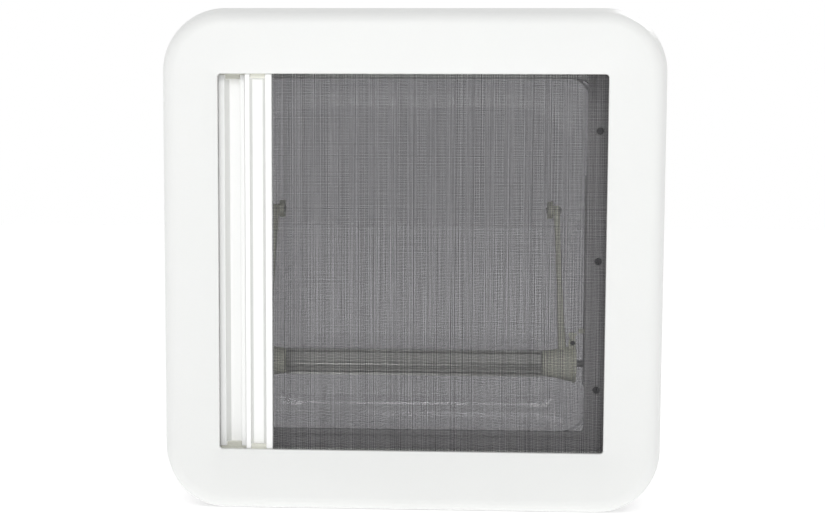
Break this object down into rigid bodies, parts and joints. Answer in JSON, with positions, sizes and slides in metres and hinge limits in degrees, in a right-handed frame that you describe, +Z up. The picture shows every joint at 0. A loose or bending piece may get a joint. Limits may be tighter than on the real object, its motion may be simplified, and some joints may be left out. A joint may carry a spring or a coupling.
{
  "type": "crank roof window",
  "caption": "Square hinged roof window seen from inside: white ceiling frame, pleated insect net and blackout blind, clear double dome, and a crank bar that swings it open.",
  "frame": {"origin": "middle of the roof cut-out, in the plane of the roof's outer skin", "axes": "+Z runs up towards the sash hinge, +Y points out through the roof, +X is to the right seen from the room"},
  "size_m": [0.49, 0.138, 0.4934],
  "materials": {
    "white_plastic": "fine-grained white moulding",
    "white_bar": "smooth satin white extrusion",
    "grey_plastic": "fine-grained warm grey moulding",
    "beige_plastic": "satin beige moulding",
    "clear_pane": "milky clear acrylic",
    "rubber": "matt black rubber",
    "aluminium": "satin anodised",
    "steel": "zinc plated",
    "insect_net": "dark pleated insect net",
    "blackout_cloth": "pale pleated blackout cloth"
  },
  "bodies": {
    "frame": {"inner_frame": "white_plastic", "mounting_flange": "grey_plastic", "mounting_collar": "grey_plastic", "mounting_ledge": "grey_plastic", "frame_screw_1": "steel", "frame_screw_2": "steel", "frame_screw_3": "steel", "frame_screw_4": "steel", "frame_screw_5": "steel", "frame_screw_6": "steel", "outer_frame": "white_plastic", "flange_gasket": "rubber", "dome_seal": "rubber", "guide_rail_top": "white_plastic", "guide_rail_bottom": "white_plastic", "screen_anchor": "white_plastic", "blackout_anchor": "white_plastic", "screen_net": "insect_net", "blackout_pleats": "blackout_cloth", "hinge_bracket_left": "white_plastic", "hinge_bracket_right": "white_plastic", "hinge_pin_left": "steel", "hinge_pin_right": "steel", "slide_track_left": "aluminium", "slide_track_right": "aluminium", "catch_stud_left": "grey_plastic", "catch_stud_right": "grey_plastic"},
    "sash": {"outer_pane": "clear_pane", "inner_pane": "clear_pane", "hinge_strap_left": "white_plastic", "hinge_strap_right": "white_plastic", "crank_lug_left": "grey_plastic", "crank_lug_right": "grey_plastic", "lug_pin_left": "steel", "lug_pin_right": "steel"},
    "crank_bar": {"crossbar": "aluminium", "crank_hub_left": "grey_plastic", "crank_hub_right": "grey_plastic", "crank_arm_left": "grey_plastic", "crank_arm_right": "grey_plastic", "end_pin_left": "steel", "end_pin_right": "steel", "catch_pin_left": "steel", "catch_pin_right": "steel"},
    "slide_shoes": {"slide_shoe_left": "beige_plastic", "slide_shoe_right": "beige_plastic"},
    "catch_left": {"catch_left": "beige_plastic"},
    "catch_right": {"catch_right": "beige_plastic"},
    "screen_bar": {"screen_pull_bar": "white_bar", "screen_bar_cap_top": "beige_plastic", "screen_bar_cap_bottom": "beige_plastic"},
    "blackout_bar": {"blackout_pull_bar": "white_bar", "blackout_bar_cap_top": "beige_plastic", "blackout_bar_cap_bottom": "beige_plastic"}
  },
  "joints": [
    {"name": "sash_hinge", "type": "hinge", "parent": "frame", "child": "sash", "pos_m": [0, 0.02, 0.205], "axis": [1, 0, 0], "range_deg": [0, 50]},
    {"name": "crank_pivot", "type": "hinge", "parent": "sash", "child": "crank_bar", "pos_m": [0, 0.058, 0.049], "axis": [1, 0, 0], "range_deg": [-100, 0]},
    {"name": "shoe_pivot", "type": "hinge", "parent": "crank_bar", "child": "slide_shoes", "pos_m": [0, 0.02, -0.107], "axis": [1, 0, 0], "range_deg": [0, 50]},
    {"name": "catch_left_pivot", "type": "hinge", "parent": "crank_bar", "child": "catch_left", "pos_m": [-0.162, 0.0102, -0.084], "axis": [0, -1, 0], "range_deg": [0, 22]},
    {"name": "catch_right_pivot", "type": "hinge", "parent": "crank_bar", "child": "catch_right", "pos_m": [0.162, 0.0102, -0.084], "axis": [0, 1, 0], "range_deg": [0, 22]},
    {"name": "screen_slide", "type": "slide", "parent": "frame", "child": "screen_bar", "axis": [1, 0, 0], "range_m": [0, 0.325], "deforming": ["screen_net"]},
    {"name": "blackout_slide", "type": "slide", "parent": "frame", "child": "blackout_bar", "axis": [1, 0, 0], "range_m": [0, 0.35], "deforming": ["blackout_pleats"]}
  ],
  "couplings": [
    {"joint": "crank_pivot", "follows": "sash_hinge", "ratio": -2},
    {"joint": "shoe_pivot", "follows": "sash_hinge", "ratio": 1}
  ]
}
